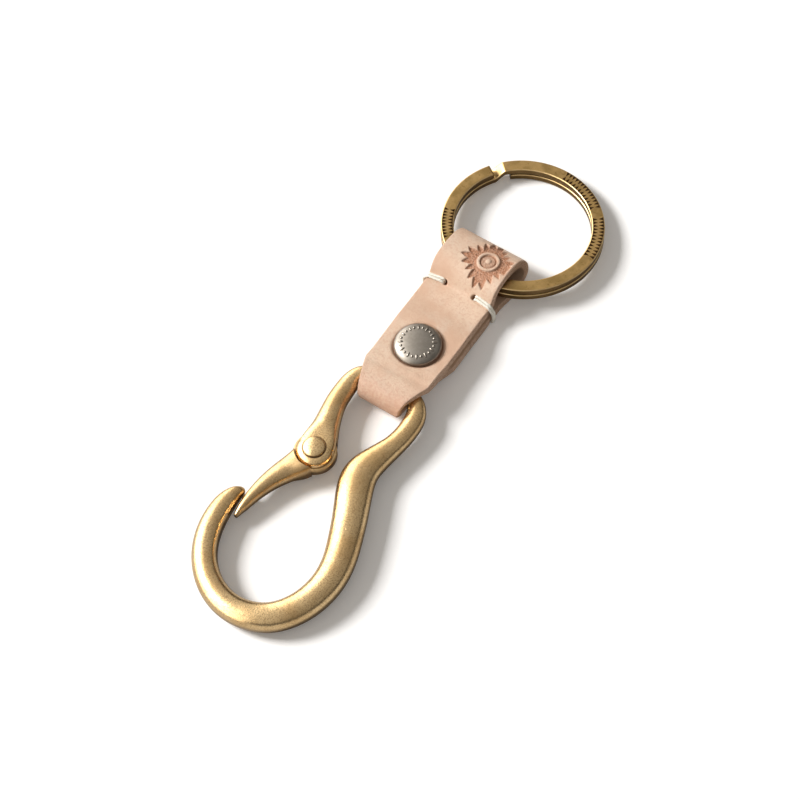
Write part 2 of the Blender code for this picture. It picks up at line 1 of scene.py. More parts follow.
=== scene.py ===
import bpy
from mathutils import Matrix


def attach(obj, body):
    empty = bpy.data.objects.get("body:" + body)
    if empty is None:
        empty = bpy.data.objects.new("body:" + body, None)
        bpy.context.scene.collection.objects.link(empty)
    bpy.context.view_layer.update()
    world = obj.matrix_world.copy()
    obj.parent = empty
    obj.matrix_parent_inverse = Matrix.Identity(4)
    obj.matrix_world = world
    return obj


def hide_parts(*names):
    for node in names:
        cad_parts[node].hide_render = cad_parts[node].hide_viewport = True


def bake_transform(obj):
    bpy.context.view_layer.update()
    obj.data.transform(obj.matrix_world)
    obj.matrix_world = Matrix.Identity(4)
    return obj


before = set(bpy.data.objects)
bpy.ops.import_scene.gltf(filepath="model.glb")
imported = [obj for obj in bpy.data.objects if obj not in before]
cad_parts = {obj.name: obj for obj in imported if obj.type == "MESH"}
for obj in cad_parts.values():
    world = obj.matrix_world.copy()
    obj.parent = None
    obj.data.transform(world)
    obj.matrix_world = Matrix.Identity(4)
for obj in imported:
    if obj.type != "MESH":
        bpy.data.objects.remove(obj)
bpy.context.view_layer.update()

from math import atan, atan2, copysign, cos, dist, exp, hypot, inf, pi, radians, sin, tan

import bmesh
import bpy
from mathutils import Matrix, Vector, noise

mm = 0.001
snapAt = Vector((-2.40, 9.55, 0))  # the snap's place; shapes are drawn in mm round it, +Y to the ring
tau = 2 * pi
roundSides = 96  # of a turned shape


# Maths and small shapes

def part(x, x0, x1):  # how far x has come from x0 to x1, 0 to 1
    return min(max((x - x0) / (x1 - x0), 0.0), 1.0)


def ease(x, x0, x1):
    t = part(x, x0, x1)
    return t * t * (3 - 2 * t)


def smoothRows(rows, steps):  # Catmull-Rom through rows of numbers
    first = [2 * a - b for a, b in zip(rows[0], rows[1])]
    last = [2 * a - b for a, b in zip(rows[-1], rows[-2])]
    padded = [first] + [list(row) for row in rows] + [last]
    result = []
    for k in range(1, len(padded) - 2):
        for s in range(steps):
            t = s / steps
            result.append([0.5 * (2 * b + (c - a) * t + (2 * a - 5 * b + 4 * c - d) * t * t
                                  + (3 * b - a - 3 * c + d) * t ** 3)
                           for a, b, c, d in zip(*padded[k - 1:k + 3])])
    result.append(list(rows[-1]))
    return result


def relax(rows, passes):  # evens out the bends of a path without moving its ends
    for _ in range(passes):
        rows = [rows[0]] + [[(a + 2 * b + c) / 4 for a, b, c in zip(*rows[k - 1:k + 2])]
                            for k in range(1, len(rows) - 1)] + [rows[-1]]
    return rows


def resample(rows, spacing):  # rows at the distance that spacing(row) asks for
    result = [rows[0]]
    left = spacing(rows[0])
    for a, b in zip(rows, rows[1:]):
        run = dist(a[:2], b[:2])
        at = 0.0
        while run - at > left:
            at += left
            row = [p + (q - p) * at / run for p, q in zip(a, b)]
            result.append(row)
            left = spacing(row)
        left -= run - at
    if dist(result[-1][:2], rows[-1][:2]) < 0.05:
        result.pop()
    return result + [rows[-1]]


def linked(name, data):  # a new object in the scene's collection
    item = bpy.data.objects.new(name, data)
    bpy.context.collection.objects.link(item)
    return item


def newObject(name, bm, mat, body, sharp=None):  # a bmesh drawn in mm round the snap, put in place
    bmesh.ops.translate(bm, vec=snapAt, verts=bm.verts)
    bmesh.ops.scale(bm, vec=(mm, mm, mm), verts=bm.verts)
    bmesh.ops.recalc_face_normals(bm, faces=bm.faces)
    mesh = bpy.data.meshes.new(name)
    bm.to_mesh(mesh)
    bm.free()
    mesh.shade_smooth()
    if sharp:  # the least angle of a sharp edge, in degrees
        mesh.set_sharp_from_angle(angle=radians(sharp))
    piece = linked(name, mesh)
    if mat:
        mesh.materials.append(mat)
    if body:
        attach(piece, body)
    return piece


def skinRings(rings, masks=None):  # a closed skin over rings of points, with a float layer per mask
    bm = bmesh.new()
    layers = {key: bm.verts.layers.float.new(key) for key in (masks or {})}
    loops = []
    for i, ring in enumerate(rings):
        loop = []
        for k, p in enumerate(ring):
            vert = bm.verts.new(p)
            for key, layer in layers.items():
                vert[layer] = masks[key][i][k]
            loop.append(vert)
        loops.append(loop)
    count = len(loops[0])
    for near, far in zip(loops, loops[1:]):
        for k in range(count):
            m = (k + 1) % count
            bm.faces.new((near[k], near[m], far[m], far[k]))
    bm.faces.new(loops[0][::-1])
    bm.faces.new(loops[-1])
    return bm


def turned(profile, centre, segments=roundSides):  # a closed (radius, height) profile round Z
    bm = bmesh.new()
    rows = []
    for i in range(segments):
        a = tau * i / segments
        rows.append([bm.verts.new((centre[0] + r * cos(a), centre[1] + r * sin(a),
                                   centre[2] + z)) for r, z in profile])
    for i in range(segments):
        near, far = rows[i], rows[(i + 1) % segments]
        for k in range(len(profile)):
            m = (k + 1) % len(profile)
            if profile[k][0] > 0 or profile[m][0] > 0:
                bm.faces.new((near[k], near[m], far[m], far[k]))
    bmesh.ops.remove_doubles(bm, verts=bm.verts, dist=0.0005)
    return bm


def cylinderOf(radius, low, high, centre):
    return turned([(0, low), (radius, low), (radius, high), (0, high)], centre)


def carve(piece, steps):  # steps: (operation, name, bmesh); applied for good, the cutters removed
    cutters = []
    for operation, name, bm in steps:
        cutter = newObject(name, bm, None, None)
        mod = piece.modifiers.new(name, "BOOLEAN")
        mod.operation, mod.solver, mod.object = operation, "EXACT", cutter
        cutters.append(cutter)
    bakeModifiers(piece)
    for cutter in cutters:
        bpy.data.objects.remove(cutter, do_unlink=True)


def bakeModifiers(piece):  # leaves the evaluated shape as a plain mesh
    graph = bpy.context.evaluated_depsgraph_get()
    graph.update()
    mesh = bpy.data.meshes.new_from_object(piece.evaluated_get(graph), preserve_all_data_layers=True,
                                           depsgraph=graph)
    piece.modifiers.clear()
    old = piece.data
    piece.data = mesh
    bpy.data.meshes.remove(old)
    mesh.name = piece.name


# Node trees

class Sock:  # a socket that takes part in expressions, each of which adds its Math node
    def __init__(self, net, socket):
        self.net, self.socket = net, socket

    def also(self, name):  # another output of the same node
        return Sock(self.net, self.socket.node.outputs[name])

    def __add__(self, other):
        return self.net.maths("ADD", self, other)

    def __sub__(self, other):
        return self.net.maths("SUBTRACT", self, other)

    def __rsub__(self, other):
        return self.net.maths("SUBTRACT", other, self)

    def __mul__(self, other):
        return self.net.maths("MULTIPLY", self, other)

    def __truediv__(self, other):
        return self.net.maths("DIVIDE", self, other)

    __radd__ = __add__
    __rmul__ = __mul__


class Net:
    def __init__(self, tree):
        self.tree = tree
        self.place = None  # where its textures are drawn

    def add(self, kind, settings=None, sockets=None):  # any node, by type, settings and inputs
        item = self.tree.nodes.new(kind)
        for key, value in (settings or {}).items():
            setattr(item, key, value)
        for key, value in (sockets or {}).items():
            spot = item.inputs[key]
            if isinstance(value, Sock):
                self.tree.links.new(value.socket, spot)
            else:
                spot.default_value = (*value, 1) if spot.type == "RGBA" else value
        return Sock(self, item.outputs[0]) if item.outputs else item

    def maths(self, kind, a, b=0.0):
        return self.add("ShaderNodeMath", {"operation": kind}, {0: a, 1: b})

    def vector(self, kind, a, b=(0, 0, 0)):
        return self.add("ShaderNodeVectorMath", {"operation": kind}, {0: a, 1: b})

    def mix(self, mask, a, b):
        return self.add("ShaderNodeMix", {"data_type": "RGBA"}, {0: mask, 6: a, 7: b}).also(2)

    def step(self, value, low, high, toLow=0.0, toHigh=1.0):  # a smooth ramp of value
        return self.add("ShaderNodeMapRange", {"interpolation_type": "SMOOTHSTEP"},
                        {0: value, 1: low, 2: high, 3: toLow, 4: toHigh})

    def noise(self, scale, detail=2.0, rough=0.5, place=None):
        return self.add("ShaderNodeTexNoise", {}, {"Vector": place or self.place, "Scale": scale,
                                                   "Detail": detail, "Roughness": rough})

    def cells(self, scale, feature="F1", place=None):
        return self.add("ShaderNodeTexVoronoi", {"feature": feature},
                        {"Vector": place or self.place, "Scale": scale})

    def bumps(self, *layers):  # (height, distance, strength), each laid over the one before
        normal = None
        for height, distance, strength in layers:
            sockets = {"Height": height, "Distance": distance, "Strength": strength}
            if normal:
                sockets["Normal"] = normal
            normal = self.add("ShaderNodeBump", {}, sockets)
        return normal

    def mask(self, name):  # a mesh attribute, 0 to 1
        return self.add("ShaderNodeAttribute", {"attribute_name": name}).also("Fac")


def emptyNet(owner):  # of a material or a world
    owner.use_nodes = True
    owner.node_tree.nodes.clear()
    return Net(owner.node_tree)


def newMaterial(name, metallic=0.0):
    mat = bpy.data.materials.new(name)
    net = emptyNet(mat)
    shader = net.add("ShaderNodeBsdfPrincipled", {}, {"Metallic": metallic})
    net.add("ShaderNodeOutputMaterial", {}, {0: shader})
    net.place = net.add("ShaderNodeTexCoord").also("Object")

    def finish(**sockets):
        for key, value in sockets.items():
            net.tree.links.new(value.socket, shader.socket.node.inputs[key.replace("_", " ")])
        return mat
    return net, finish


# Materials

leatherLook = {
    "grain": (0.87, 0.645, 0.48), "warm": (0.77, 0.50, 0.345), "pale": (0.86, 0.675, 0.53),
    "fold": (0.70, 0.39, 0.265), "edge": (0.52, 0.30, 0.185), "edgePale": (0.80, 0.56, 0.41),
    "flesh": (0.66, 0.45, 0.31), "stamped": (0.50, 0.22, 0.115),
    "pressed": (0.30, 0.13, 0.065), "hole": (0.24, 0.105, 0.045),
}


def leatherMaterial():
    look = leatherLook
    net, finish = newMaterial("naturalLeather")
    cloud = net.noise(90, 3)
    colour = net.mix(net.step(cloud, 0.35, 0.68), look["grain"], look["warm"])
    colour = net.mix(net.step(net.noise(210, 4), 0.45, 0.72) * 0.6, colour, look["pale"])
    fine = net.noise(1500, 4, 0.65)
    colour = net.mix(net.step(fine, 0.46, 0.62) * 0.66, colour, look["warm"])
    along = net.add("ShaderNodeSeparateXYZ", {}, {0: net.place}).also("Y")
    fold = net.step(along, -0.0075, -0.001, 1.0, 0.0)  # it darkens where it is bent round the bail
    colour = net.mix(fold * net.step(fine, 0.3, 0.7, 0.3, 0.75), colour, look["fold"])
    pores = net.cells(2600, place=net.vector("ADD", net.place, net.noise(900, 2).also("Color")))
    creases = net.cells(1500, "DISTANCE_TO_EDGE")
    stamped = net.mask("stamped")
    pressed = net.mask("pressed")
    speck = net.step(net.noise(2600, 2), 0.4, 0.62)
    colour = net.mix(stamped * (0.74 + 0.26 * speck), colour, look["stamped"])
    # painted shade: a dark ring round the cap, and the stamp's walls
    colour = net.mix(pressed, colour, look["pressed"])
    colour = net.mix(net.mask("fleshSide"), colour, look["flesh"])
    streaks = net.add("ShaderNodeMapping", {}, {"Vector": net.place, "Scale": (1.0, 0.35, 1.9)})
    fibre = net.noise(4200, 4, 0.7, streaks)
    edge = net.mask("cutEdge")
    edgeColour = net.mix(net.step(fibre, 0.42, 0.58), look["edge"], look["edgePale"])
    edgeCover = edge * net.step(net.noise(500, 3), 0.2, 0.6, 0.8, 1.0)
    colour = net.mix(edgeCover, colour, edgeColour)
    # painted shade inside the stitch holes
    colour = net.mix(net.mask("hole"), colour, look["hole"])
    rough = net.step(cloud, 0.3, 0.7, 0.42, 0.56) + edge * 0.25 + net.mask("fleshSide") * 0.3
    grainHeight = net.step(pores, 0.0, 0.6) * 0.5
    grainHeight = grainHeight + net.step(creases, 0.0, 0.14) * (0.35 + fold * 0.5)
    raw = edge + net.mask("fleshSide") * 0.8
    normal = net.bumps((grainHeight, 0.00009, 0.9), (net.noise(420, 4, 0.6), 0.00018, 0.6),
                       (fibre * raw, 0.0003, 0.9), (net.cells(2100) * stamped, 0.00026, 0.9))
    return finish(Base_Color=colour, Roughness=rough, Normal=normal)


def threadMaterial():
    net, finish = newMaterial("waxedThread")
    fuzz = net.noise(5200, 3)
    colour = net.mix(net.step(fuzz, 0.3, 0.7), (0.74, 0.70, 0.60), (0.90, 0.88, 0.80))
    soiled = net.step(net.noise(700, 2), 0.5, 0.8) * 0.35
    colour = net.mix(soiled, colour, (0.62, 0.54, 0.42))
    normal = net.bumps((fuzz, 0.00004, 0.7))
    return finish(Base_Color=colour, Roughness=net.step(fuzz, 0.2, 0.8, 0.5, 0.75), Normal=normal)


brassLook = {  # in metres: the bar's middle height at y = 0 and its climb, the rivet and the bow's tip, which place painted shade
    "light": (0.88, 0.645, 0.35), "deep": (0.70, 0.47, 0.225), "tarnish": (0.36, 0.225, 0.10),
    "grimeAndShade": (0.085, 0.045, 0.018), "middle": 0.00428, "climb": 0.01372,
    "rivet": (-0.00715, -0.02605, 0.0), "seat": 0.00272, "tip": (-0.0132, -0.056, 0.0045),
}
gateLook = dict(brassLook, light=(0.66, 0.47, 0.25), deep=(0.52, 0.35, 0.17))


def brassMaterial(name, look, dull=0.0):
    net, finish = newMaterial(name, metallic=1.0)
    cloud = net.noise(130, 4, 0.6)
    colour = net.mix(net.step(cloud, 0.35, 0.7), look["light"], look["deep"])
    stain = net.step(net.noise(420, 5, 0.7), 0.56, 0.74)
    colour = net.mix(stain * (0.28 + dull), colour, look["tarnish"])
    dents = net.step(net.cells(650), 0.0, 0.16, 1.0, 0.0) * net.step(net.noise(240, 2), 0.5, 0.6)
    colour = net.mix(dents * 0.4, colour, look["tarnish"])
    fine = net.noise(3000, 3, 0.6)
    colour = net.mix(net.step(fine, 0.48, 0.62) * 0.5, colour, look["tarnish"])
    axes = net.add("ShaderNodeSeparateXYZ", {}, {0: net.place})
    level = axes.also("Z") - look["middle"] - axes.also("Y") * look["climb"]
    grimeAndShade = net.step(level, -0.0001, 0.0012, 0.62, 0.0)  # painted shade: the underside is darkened
    # painted shade low on the bow's tip
    tip = net.vector("DISTANCE", net.place, look["tip"]).also("Value")
    tipShade = net.step(tip, 0.004, 0.0085, 0.85, 0.0) * net.step(level, 0.0006, 0.0021, 1.0, 0.0)
    grimeAndShade = net.maths("MAXIMUM", grimeAndShade, tipShade)
    out = net.vector("MULTIPLY", net.vector("SUBTRACT", net.place, look["rivet"]), (1, 1, 0))
    out = net.vector("LENGTH", out).also("Value")
    seat = net.step(net.maths("ABSOLUTE", out - look["seat"]), 0.00006, 0.00026, 0.85, 0.0)
    seat = seat * net.step(level, 0.0026, 0.003)  # painted shade too, in the line round the rivet's head
    colour = net.mix(net.maths("MAXIMUM", grimeAndShade, seat), colour, look["grimeAndShade"])
    rough = net.step(cloud, 0.3, 0.75, 0.19, 0.27) + stain * 0.08 + fine * 0.06 + 0.3 * dull
    normal = net.bumps((fine, 0.00003, 0.5), (net.noise(950, 3), 0.00007, 0.45),
                       (net.noise(260, 2), 0.0002, 0.25), (1 - dents, 0.00008, 0.5))
    return finish(Base_Color=colour, Roughness=rough, Normal=normal)


ringLook = {
    "face": (0.485, 0.32, 0.13), "faceDark": (0.33, 0.215, 0.08),
    "bright": (0.78, 0.57, 0.29), "dark": (0.09, 0.045, 0.012),
}


def ringMaterial():
    look = ringLook
    net, finish = newMaterial("antiquedBrass", metallic=1.0)
    cloud = net.noise(300, 4, 0.6)
    colour = net.mix(net.step(cloud, 0.35, 0.7), look["face"], look["faceDark"])
    grimeAndShade = net.step(net.noise(900, 4, 0.7), 0.55, 0.72)
    colour = net.mix(grimeAndShade * 0.5, colour, look["dark"])
    # rubbed edges, and a painted highlight on the crank
    wearAndHighlight = net.mask("wearAndHighlight")
    rubAndHighlight = wearAndHighlight * net.step(net.noise(600, 3), 0.25, 0.55, 0.45, 1.0)
    colour = net.mix(rubAndHighlight, colour, look["bright"])
    # painted shade on the walls and the cut ends
    colour = net.mix(net.mask("wallShade"), colour, look["dark"])
    rough = 0.36 - rubAndHighlight * 0.06 + grimeAndShade * 0.1
    normal = net.bumps((net.noise(3600, 3, 0.6), 0.00002, 0.4), (cloud, 0.00006, 0.4))
    return finish(Base_Color=colour, Roughness=rough, Normal=normal)


def gunmetalMaterial():
    net, finish = newMaterial("gunmetal", metallic=1.0)
    cloud = net.noise(500, 4, 0.6)
    colour = net.mix(net.step(cloud, 0.3, 0.7), (0.31, 0.285, 0.255), (0.22, 0.20, 0.175))
    height = net.add("ShaderNodeSeparateXYZ", {}, {0: net.place}).also("Z")
    rim = net.step(height, 0.0072, 0.0077, 1.0, 0.0)  # painted shade under the cap's edge
    colour = net.mix(rim * 0.8, colour, (0.07, 0.045, 0.03))
    rough = net.step(cloud, 0.3, 0.7, 0.30, 0.40) + rim * 0.2
    normal = net.bumps((net.noise(4200, 3), 0.00002, 0.4))
    return finish(Base_Color=colour, Roughness=rough, Normal=normal)


def plainMetal(name, scale, light, deep, rough, bump=0.3):  # for small parts
    net, finish = newMaterial(name, metallic=1.0)
    cloud = net.noise(scale, 3)
    colour = net.mix(net.step(cloud, 0.35, 0.7), light, deep)
    normal = net.bumps((net.noise(3200, 3), 0.00002, bump))
    return finish(Base_Color=colour, Roughness=net.step(cloud, 0.3, 0.7, *rough), Normal=normal)


leather = leatherMaterial()
thread = threadMaterial()
brass = brassMaterial("tumbledBrass", brassLook)
gateMetal = brassMaterial("dullBrass", gateLook, 0.12)
ringBrass = ringMaterial()
gunmetal = gunmetalMaterial()
darkRecess = plainMetal("antiquedRecess", 1500, (0.045, 0.022, 0.008), (0.02, 0.011, 0.005),
                        (0.5, 0.65), 0.0)
steel = plainMetal("springSteel", 700, (0.56, 0.55, 0.53), (0.42, 0.4125, 0.3975), (0.26, 0.4))
plated = plainMetal("platedBrass", 700, (0.50, 0.44, 0.34), (0.375, 0.33, 0.255), (0.26, 0.4))
print("materials made")


# Leather strap

strap = {  # "fall" and "loop" are (y, z) of the strip's middle line, fall over the level part
    "thick": 2.6, "loopThick": 2.2, "foldThick": 1.7, "layerGap": 0.25,
    "topHalf": 8.8, "lowHalf": 9.3, "neckHalf": 5.45, "neckEnd": -17.8, "taperTop": -9.2,
    "taperLow": 0.4, "butt": 7.6, "buttGap": 0.15, "hinge": -10.9, "bailY": -11.6, "bailZ": 4.25,
    "foldR": 3.05, "foldFront": -13.9, "foldSlope": 20.0, "foldRun": 1.2, "snap": (0.53, -0.64),
    "turnY": 30, "turnZ": 4.2, "edgeRound": 0.42, "lowRound": 0.25, "lean": 0.45, "lift": 1.5,
    # pairs: where the lift, the thickness, the width and the drift change
    "lifted": (-13.0, -4.0), "skived": (-10.0, -5.0), "thinned": (17.0, 20.0),
    "backThinned": (-26.0, -20.5), "widened": (-8.0, -2.0), "widenRows": 60, "drift": 0.7,
    "drifted": (20.0, 26.0),
    "wave": 0.07, "ragged": 0.035, "uneven": 0.05,  # how far the edges and the face are from true
    "topColumns": 108, "lowColumns": 40, "sideColumns": 6, "cornerColumns": 5,
    "fine": 0.125, "coarse": 0.32, "stitchFine": 0.16, "foldFine": 0.25, "relax": 60,
    "fall": [(-8.0, 0.58), (-7.0, 0.28), (-6.0, 0.10), (-5.0, 0.02)],
    "level": (-1.5, 2.5, 4.0, 5.5, 7.0, 8.5, 10.0, 11.5, 13.0, 16.0),
    "loop": [(17.2, 4.2), (18.2, 4.55), (19.1, 5.6), (19.9, 6.9), (20.8, 8.0), (22.2, 8.65),
             (24.2, 8.8), (26.4, 8.6), (28.6, 8.1), (30.6, 7.1), (31.9, 5.7), (32.3, 4.2), (31.8, 2.7),
             (30.4, 1.65), (28.4, 1.22), (26.0, 1.14), (23.0, 1.23), (20.3, 1.3)],
}
stitch = {
    "x": 4.5, "y": 17.45, "endY": 20, "slant": 0.55, "pull": 0.45, "inward": 0.35, "thread": 0.68,
    "pitch": 0.6,
    "hole": 1.1, "holeWide": (0.25, 0.95), "holeShade": (0.49, 0.95), "groove": 0.20,
    "grooveWide": (0.35, 1.1), "lowGroove": 0.85, "lowWide": (0.75, 1.15), "lowFrom": (3.6, 4.3),
    "lobes": 3, "lobeDeep": 0.08, "turnsPerMm": 0.36,
}
stamp = {
    "x": 2.9, "y": 26.0, "radius": 6.2, "deep": 0.45, "rays": 18, "rayLong": 1.9, "rayWide": 0.55,
    "turn": 0.6, "square": 0.12, "ringIn": 1.8, "ringOut": 2.75, "line": (0.1, 0.3), "soft": 0.12,
    "eye": 0.55, "dot": (0.5, 0.75), "swell": 0.03, "swollen": (4.4, 6.2), "tint": 0.10, "rim": 0.8,
    "cut": (7.9, 8.35),  # it fades out at the strap's edge
}
capSeat = {  # how the leather gives round the cap, and the painted shade ring round it, by distance from its middle
    "dent": 0.16, "dentR": 5.4, "dentWide": 0.9, "bulge": 0.38, "bulgeR": (5.75, 6.6),
    "bulgeStart": (1.0, 6.0), "bulgeStop": (7.9, 10.5), "dark": 0.95, "darkR": 5.85, "darkWide": 0.36,
}


def lift(y):  # the hook's bail holds the strap up, from the fold to past the snap
    return strap["lift"] * ease(-y, *strap["lifted"])


def lean(y, z):
    share = max(ease(z, 1.5, 5.0), ease(y, strap["hinge"], -6.0))
    return strap["lean"] * share * lift(y) / strap["lift"]


def strapRows():
    s = strap
    arcs = ((s["foldFront"], 270, 180, 18), (s["bailY"], 90, s["foldSlope"], 6))
    rows = [[middle + s["foldR"] * cos(a), s["bailZ"] + s["foldR"] * sin(a), s["foldThick"]]
            for middle, start, turn, steps in arcs
            for a in (radians(start - turn * k / steps) for k in range(steps + 1))]
    midZ = s["thick"] * 1.5 + s["layerGap"]
    endY, endZ = rows[-1][:2]
    drop = tan(radians(s["foldSlope"]))
    path = [(endY, endZ), (endY + s["foldRun"], endZ - s["foldRun"] * drop)]
    path += [(y, midZ + s["lift"] + over) for y, over in s["fall"]]
    path += [(y, midZ + lift(y)) for y in s["level"]] + s["loop"]
    for y, z in smoothRows(path, 4)[1:]:
        back = z < 2.0 and y > 18
        if back:
            thick = s["loopThick"] + (s["thick"] - s["loopThick"]) * ease(-y, *s["backThinned"])
            z = max(z, thick / 2)
        else:
            thick = s["foldThick"] + (s["thick"] - s["foldThick"]) * ease(y, *s["skived"])
            thick -= (s["thick"] - s["loopThick"]) * ease(y, *s["thinned"])
        rows.append([y, z, thick])
    low = s["thick"] / 2
    rows += [[y, low + lift(y), s["thick"]]
             for y in (14.0, 13.0, 11.5, 10.0, 8.7, s["butt"] + s["buttGap"])]
    rows = relax(resample(rows, lambda row: 0.1), s["relax"])

    def spacing(row):  # finest under the stamp and the stitches
        y, z, _ = row
        if z > 3.5 and 16.6 < y < 33:
            return s["fine"]
        if z < 2 and abs(y - stitch["y"] - 0.5) < 2.6:
            return s["stitchFine"]
        return s["coarse"] if -5 < y < 16.6 or z < 1.5 else s["foldFine"]
    return resample(rows, spacing)


def flapRows():
    s = strap
    low, start = s["thick"] / 2, s["bailZ"] - s["foldR"]
    rows = []
    for y in (s["butt"] - s["buttGap"], 6.4, 5.2, 4.0, 0.4, -4.0, -5.0, -6.0, -7.0, -8.0, -9.0, -10.0,
              s["hinge"], s["foldFront"]):
        rise = ease(y, s["hinge"], -4.0)
        rows.append([y, start + (low + lift(y) - start) * rise,
                     s["foldThick"] + (s["thick"] - s["foldThick"]) * rise])
    return resample(smoothRows(rows, 6), lambda row: s["coarse"])


def strapHalf(y, z, lower):  # half width, given whether the row is near or past the loop's end
    s = strap
    if y < s["hinge"] and z < s["bailZ"]:
        return s["neckHalf"]
    half = s["neckHalf"] + (s["topHalf"] - s["neckHalf"]) * part(y, s["neckEnd"], s["taperTop"])
    if lower:
        half += (s["lowHalf"] - s["topHalf"]) * ease(-z, *s["widened"])
    return half


def flapHalf(y, z, lower):
    s = strap
    return s["neckHalf"] + (s["lowHalf"] - s["neckHalf"]) * part(y, s["hinge"], s["taperLow"])


def sectionOf(half, high):  # points (u, v, cut edge, flesh side), from the right round the grain side
    s = strap
    e, f = s["edgeRound"], s["lowRound"]
    n, bend = s["sideColumns"], s["cornerColumns"]
    right = [(half, -high + f + (2 * high - e - f) * (k + 0.5) / n, 1.0, 0.0) for k in range(n)]
    right += [(half - e + e * cos(a), high - e + e * sin(a), 1 - ease(a, 0.3, 1.35), 0.0)
              for a in (pi / 2 * (k + 0.5) / bend for k in range(bend))]
    left = [(-u, v, edge, flesh) for u, v, edge, flesh in reversed(right)]
    n = s["topColumns"]
    top = [((half - e) * (1 - 2 * k / (n - 1)), high, 0.0, 0.0) for k in range(n)]
    n = s["lowColumns"]
    low = [(-(half - f) * (1 - 2 * k / (n - 1)), -high, 0.0, 1.0) for k in range(n)]
    corner = (half - f * 0.3, -high + f * 0.3, 0.7, 0.5)
    return right + top + left + [(-corner[0], *corner[1:])] + low + [corner]


def threadY(x):  # the stitch runs aslant, from its hole out to the strap's edge
    return stitch["y"] + stitch["slant"] * (1 - part(x, stitch["x"], strap["lowHalf"]))


def sunburst(u, v):  # how deep the stamp presses at (u, v), 0 to 1
    r, a = hypot(u, v), atan2(v, u)
    soft = stamp["soft"]
    if r > stamp["radius"] * (1 + stamp["square"]) + soft:
        return 0.0
    outer = stamp["radius"] * (1 + stamp["square"] * cos(4 * a + stamp["turn"]))
    field = outer - stamp["rayLong"]
    cell = tau / stamp["rays"]
    da = abs((a + cell / 2) % cell - cell / 2)
    share = max((r - field) / stamp["rayLong"], 0.0)
    ray = r * (da - stamp["rayWide"] * cell * (1 - share)) if share else -1.0
    ground = (1 - ease(ray, -soft, soft)) * (1 - ease(r, outer - soft, outer + soft))
    ground *= ease(r, stamp["ringOut"] - soft, stamp["ringOut"] + soft)
    groove = 1 - ease(abs(r - stamp["ringIn"]), *stamp["line"])
    eye = stamp["eye"] * ease(r, *stamp["dot"]) * (1 - ease(r, stamp["ringIn"] - soft, stamp["ringIn"]))
    return max(ground, groove, eye)


def leatherPiece(name, rows, halfWidth, isFlap):
    s, seat = strap, capSeat
    rings, masks = [], {key: [] for key in ("cutEdge", "fleshSide", "stamped", "pressed", "hole")}
    runs = [0.0]
    for a, b in zip(rows, rows[1:]):
        runs.append(runs[-1] + dist(a[:2], b[:2]))
    turnAt = inf  # the row where the strip turns back round the ring
    if not isFlap:
        turnAt = next(k for k, row in enumerate(rows) if row[1] < s["turnZ"] and row[0] > s["turnY"])
        stampRun = next(r for row, r in zip(rows, runs) if row[0] > stamp["y"])
    for i, (y, z, thick) in enumerate(rows):
        near, far = rows[max(i - 1, 0)], rows[min(i + 1, len(rows) - 1)]
        ahead = Vector((0, far[0] - near[0], far[1] - near[1])).normalized()
        out = Vector((0, -ahead.z, ahead.y))
        after = i > turnAt or isFlap
        onTop = not after and y > s["hinge"]
        nearEnd = i > turnAt - s["widenRows"]
        half = halfWidth(y, z, nearEnd)
        drift = lean(y, z)
        if nearEnd:
            drift += s["drift"] * ease(-z, *s["widened"]) * ease(y, *s["drifted"])
        wave = s["wave"] * noise.noise(Vector((0.25 * runs[i], 3.7, 0.2)))
        ring = []
        for values in masks.values():
            values.append([])
        for u, v, edge, flesh in sectionOf(half, thick / 2):
            x = u * (1 + wave / half) + drift
            stamped = pressed = hole = push = 0.0
            if edge > 0.5:
                x += copysign(s["ragged"], u) * noise.noise(Vector((u, 2.1 * runs[i], 3 * v)))
            if v > 0 and not edge:
                push += s["uneven"] * noise.noise(Vector((x * 0.3, runs[i] * 0.3, 0)))
                if onTop:
                    r = hypot(x - s["snap"][0], y - s["snap"][1])
                    push += seat["dent"] * exp(-((r - seat["dentR"]) / seat["dentWide"]) ** 2)
                    front = ease(-y, *seat["bulgeStart"]) * (1 - ease(-y, *seat["bulgeStop"]))
                    push -= seat["bulge"] * front * ease(r, *seat["bulgeR"])
                    # painted shade in a ring round the cap's edge
                    pressed = seat["dark"] * exp(-((r - seat["darkR"]) / seat["darkWide"]) ** 2)
            dx, dy = abs(x) - stitch["x"], abs(y - threadY(abs(x)))
            if onTop and v > 0 and y < stitch["endY"]:  # the holes, with painted shade in them, and the threads' way to the edges
                r = hypot(dx + stitch["inward"], y - threadY(0) - stitch["pull"])
                push += stitch["hole"] * (1 - ease(r, *stitch["holeWide"]))
                hole = 1 - ease(r, *stitch["holeShade"])
                if dx > 0:
                    push += stitch["groove"] * (1 - ease(dy, *stitch["grooveWide"]))
            if after and not isFlap and v > 0:
                away = ease(abs(x), *stitch["lowFrom"])
                push += stitch["lowGroove"] * away * (1 - ease(dy, *stitch["lowWide"]))
            if v > 0 and not edge and not after:
                along, aside = runs[i] - stampRun, x - stamp["x"]
                deep = sunburst(along, aside) * (1 - ease(x, *stamp["cut"]))
                inside = 1 - ease(hypot(along, aside), *stamp["swollen"])
                push += stamp["deep"] * deep - stamp["swell"] * inside * (1 - deep)
                stamped = max(deep, stamp["tint"] * inside)
                # the stamp's sloping walls: darker pressed leather and painted shade
                pressed += stamp["rim"] * deep * (1 - deep)
            p = Vector((x, y, z)) + out * (v - push)
            if after:
                p.z = max(p.z, 0.0)
            ring.append(p)
            for key, value in zip(masks, (edge, flesh, stamped, pressed, hole)):
                masks[key][-1].append(value)
        rings.append(ring)
    return newObject(name, skinRings(rings, masks), leather, None, 50)


